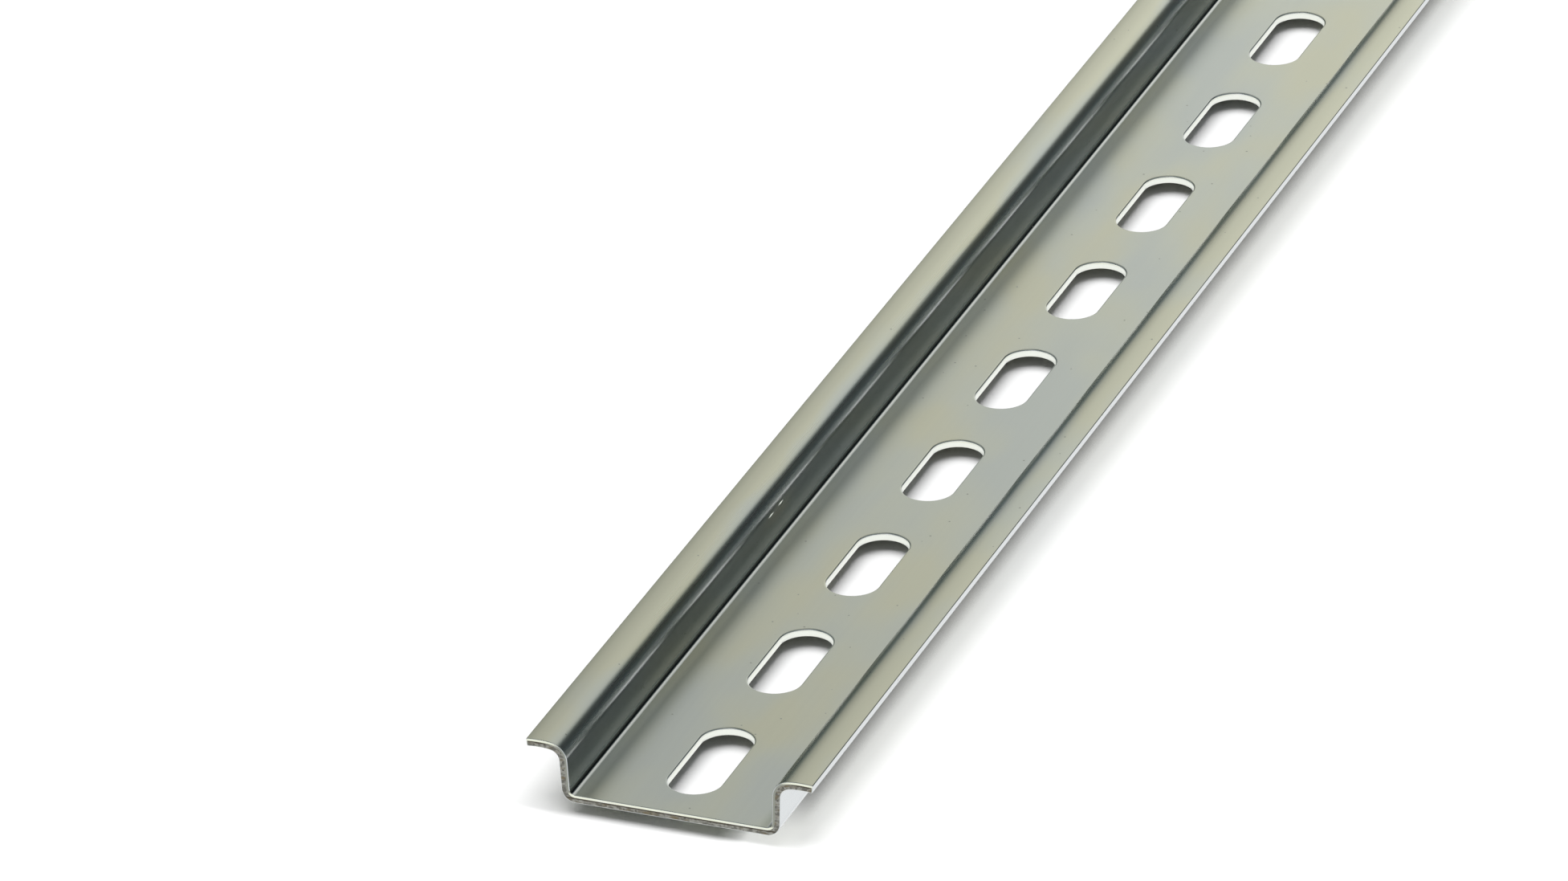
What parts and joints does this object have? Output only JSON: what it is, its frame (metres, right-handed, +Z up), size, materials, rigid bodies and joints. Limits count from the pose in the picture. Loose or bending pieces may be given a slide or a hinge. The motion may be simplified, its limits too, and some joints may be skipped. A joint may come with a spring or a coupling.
{
  "type": "din rail",
  "caption": "Perforated steel top-hat mounting rail: a shallow channel with out-turned flanges and round-ended fixing slots along its web.",
  "frame": {"origin": "underside of the web, midway along the rail and midway between its flanges", "axes": "+X along the rail, +Y across it, +Z up from the panel face to the flange tops"},
  "size_m": [1, 0.035, 0.0075],
  "materials": {
    "plated_steel": "zinc plated and passivated, satin, with soft streaks along the rail"
  },
  "bodies": {
    "root": {"rail": "plated_steel"}
  },
  "joints": []
}
